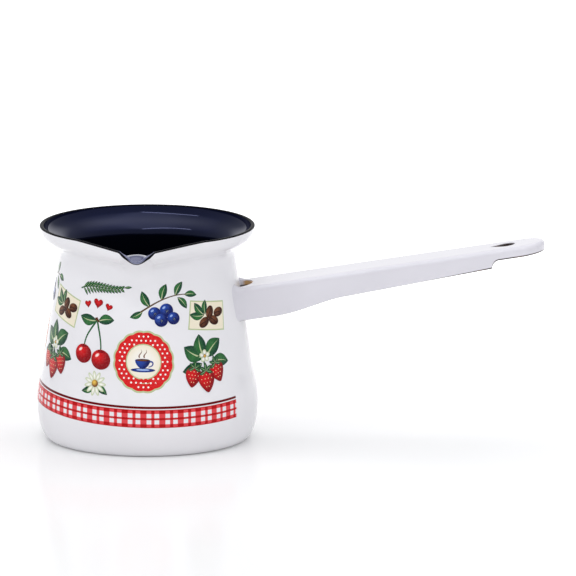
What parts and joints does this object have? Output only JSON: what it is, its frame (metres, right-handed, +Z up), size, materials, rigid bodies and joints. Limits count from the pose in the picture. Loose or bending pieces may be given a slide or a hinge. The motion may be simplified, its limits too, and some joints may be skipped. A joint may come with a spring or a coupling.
{
  "type": "enamelled coffee pot",
  "caption": "Enamelled steel coffee pot with a flared rim, a pouring lip at one side and a long pressed channel handle with a hanging hole.",
  "frame": {"origin": "on the pot's own axis, at the underside that it stands on", "axes": "+Z up; +X out along the handle; -Y towards the pouring lip"},
  "size_m": [0.2383, 0.1114, 0.1015],
  "materials": {
    "body_steel": "drawn sheet steel, covered by enamel on both sides",
    "outer_enamel": "glossy white fired enamel with a printed band and small printed motifs",
    "inner_enamel": "glossy dark navy fired enamel",
    "rim_enamel": "glossy dark fired enamel",
    "handle_steel": "pressed sheet steel, covered by enamel on both sides",
    "handle_enamel": "glossy white fired enamel",
    "ground_coat": "thin dark brown-black ground coat, less glossy",
    "weld": "weld metal"
  },
  "bodies": {
    "root": {"body_steel": "body_steel", "outer_enamel": "outer_enamel", "inner_enamel": "inner_enamel", "rim_enamel": "rim_enamel", "handle_steel": "handle_steel", "handle_enamel": "handle_enamel", "handle_lining": "ground_coat", "root_lining": "ground_coat", "front_weld": "weld", "back_weld": "weld"}
  },
  "joints": []
}
